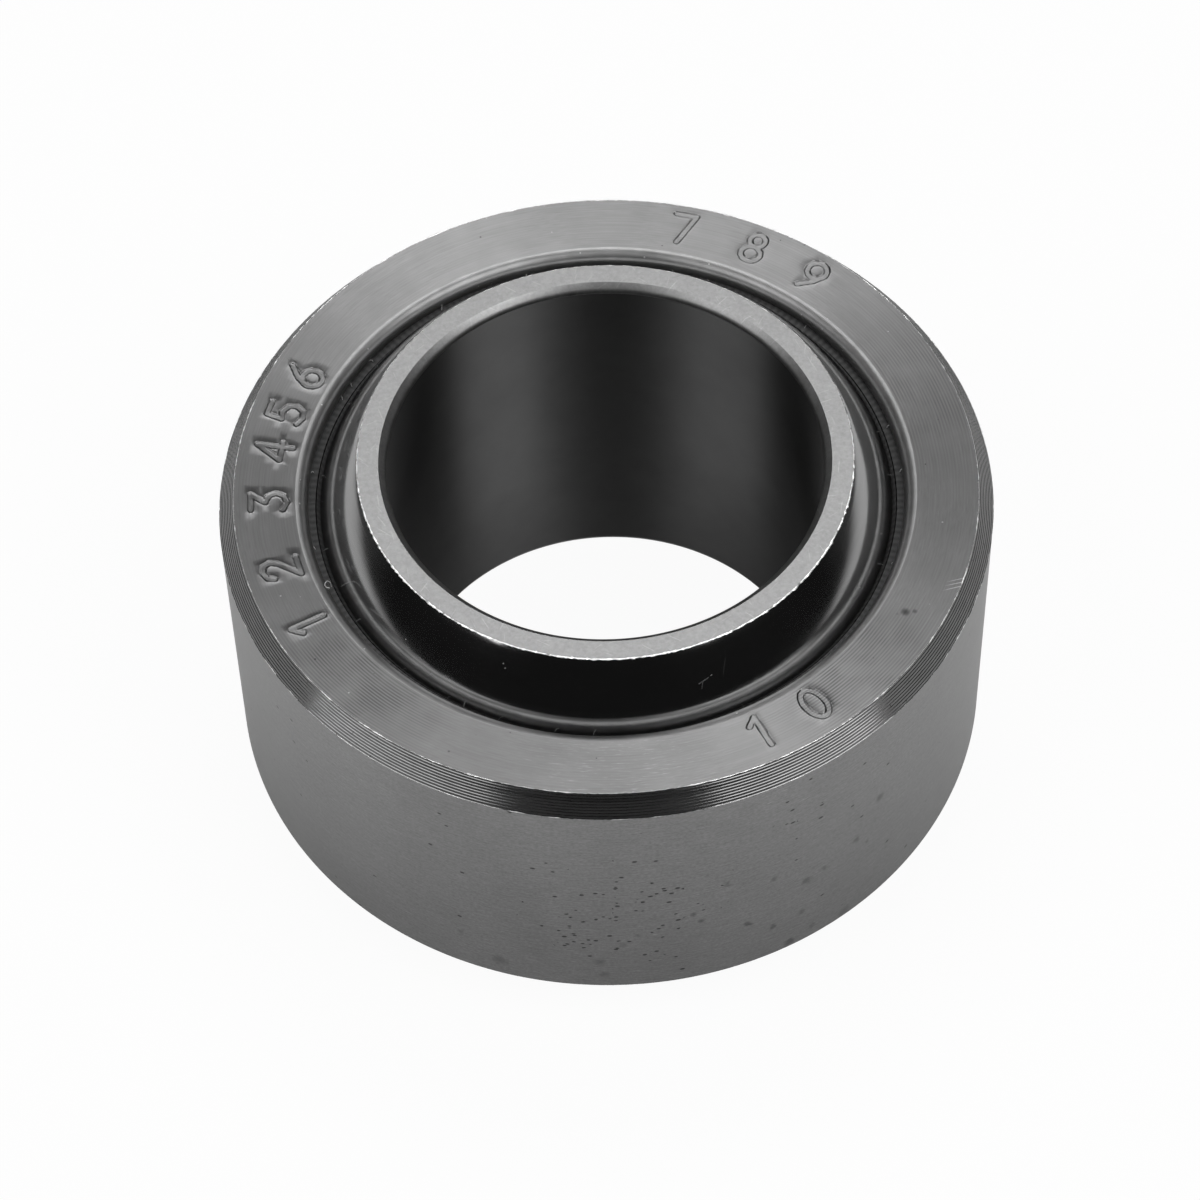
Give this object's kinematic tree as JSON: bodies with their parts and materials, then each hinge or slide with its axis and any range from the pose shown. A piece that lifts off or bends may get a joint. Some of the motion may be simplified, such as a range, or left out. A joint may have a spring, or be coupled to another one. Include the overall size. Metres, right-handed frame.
{
  "type": "spherical plain bearing",
  "caption": "Self-aligning spherical plain bearing: a bored steel ball that tilts in a swaged steel race on a bonded fabric liner, with a straight bore for a shaft or bolt.",
  "frame": {"origin": "centre of the ball, which is also the centre of the race", "axes": "+Z along the bore's axis, up as the bearing stands on the ball's lower end face; +X and +Y across it"},
  "size_m": [0.0396, 0.0396, 0.0222],
  "materials": {
    "race_steel": "stainless steel, ground outside, turned faces and chamfers",
    "ball_steel": "hardened steel, mirror-polished sphere, ground end faces",
    "liner_fabric": "woven self-lubricating fabric, bonded with resin"
  },
  "bodies": {
    "ball": {"inner_ball": "ball_steel"},
    "race": {"outer_race": "race_steel", "fabric_liner": "liner_fabric"}
  },
  "joints": [
    {"name": "race_tilt", "type": "hinge", "parent": "ball", "child": "race", "pos_m": [0, 0, 0], "axis": [1, 0, 0], "range_deg": [-9, 9]}
  ]
}
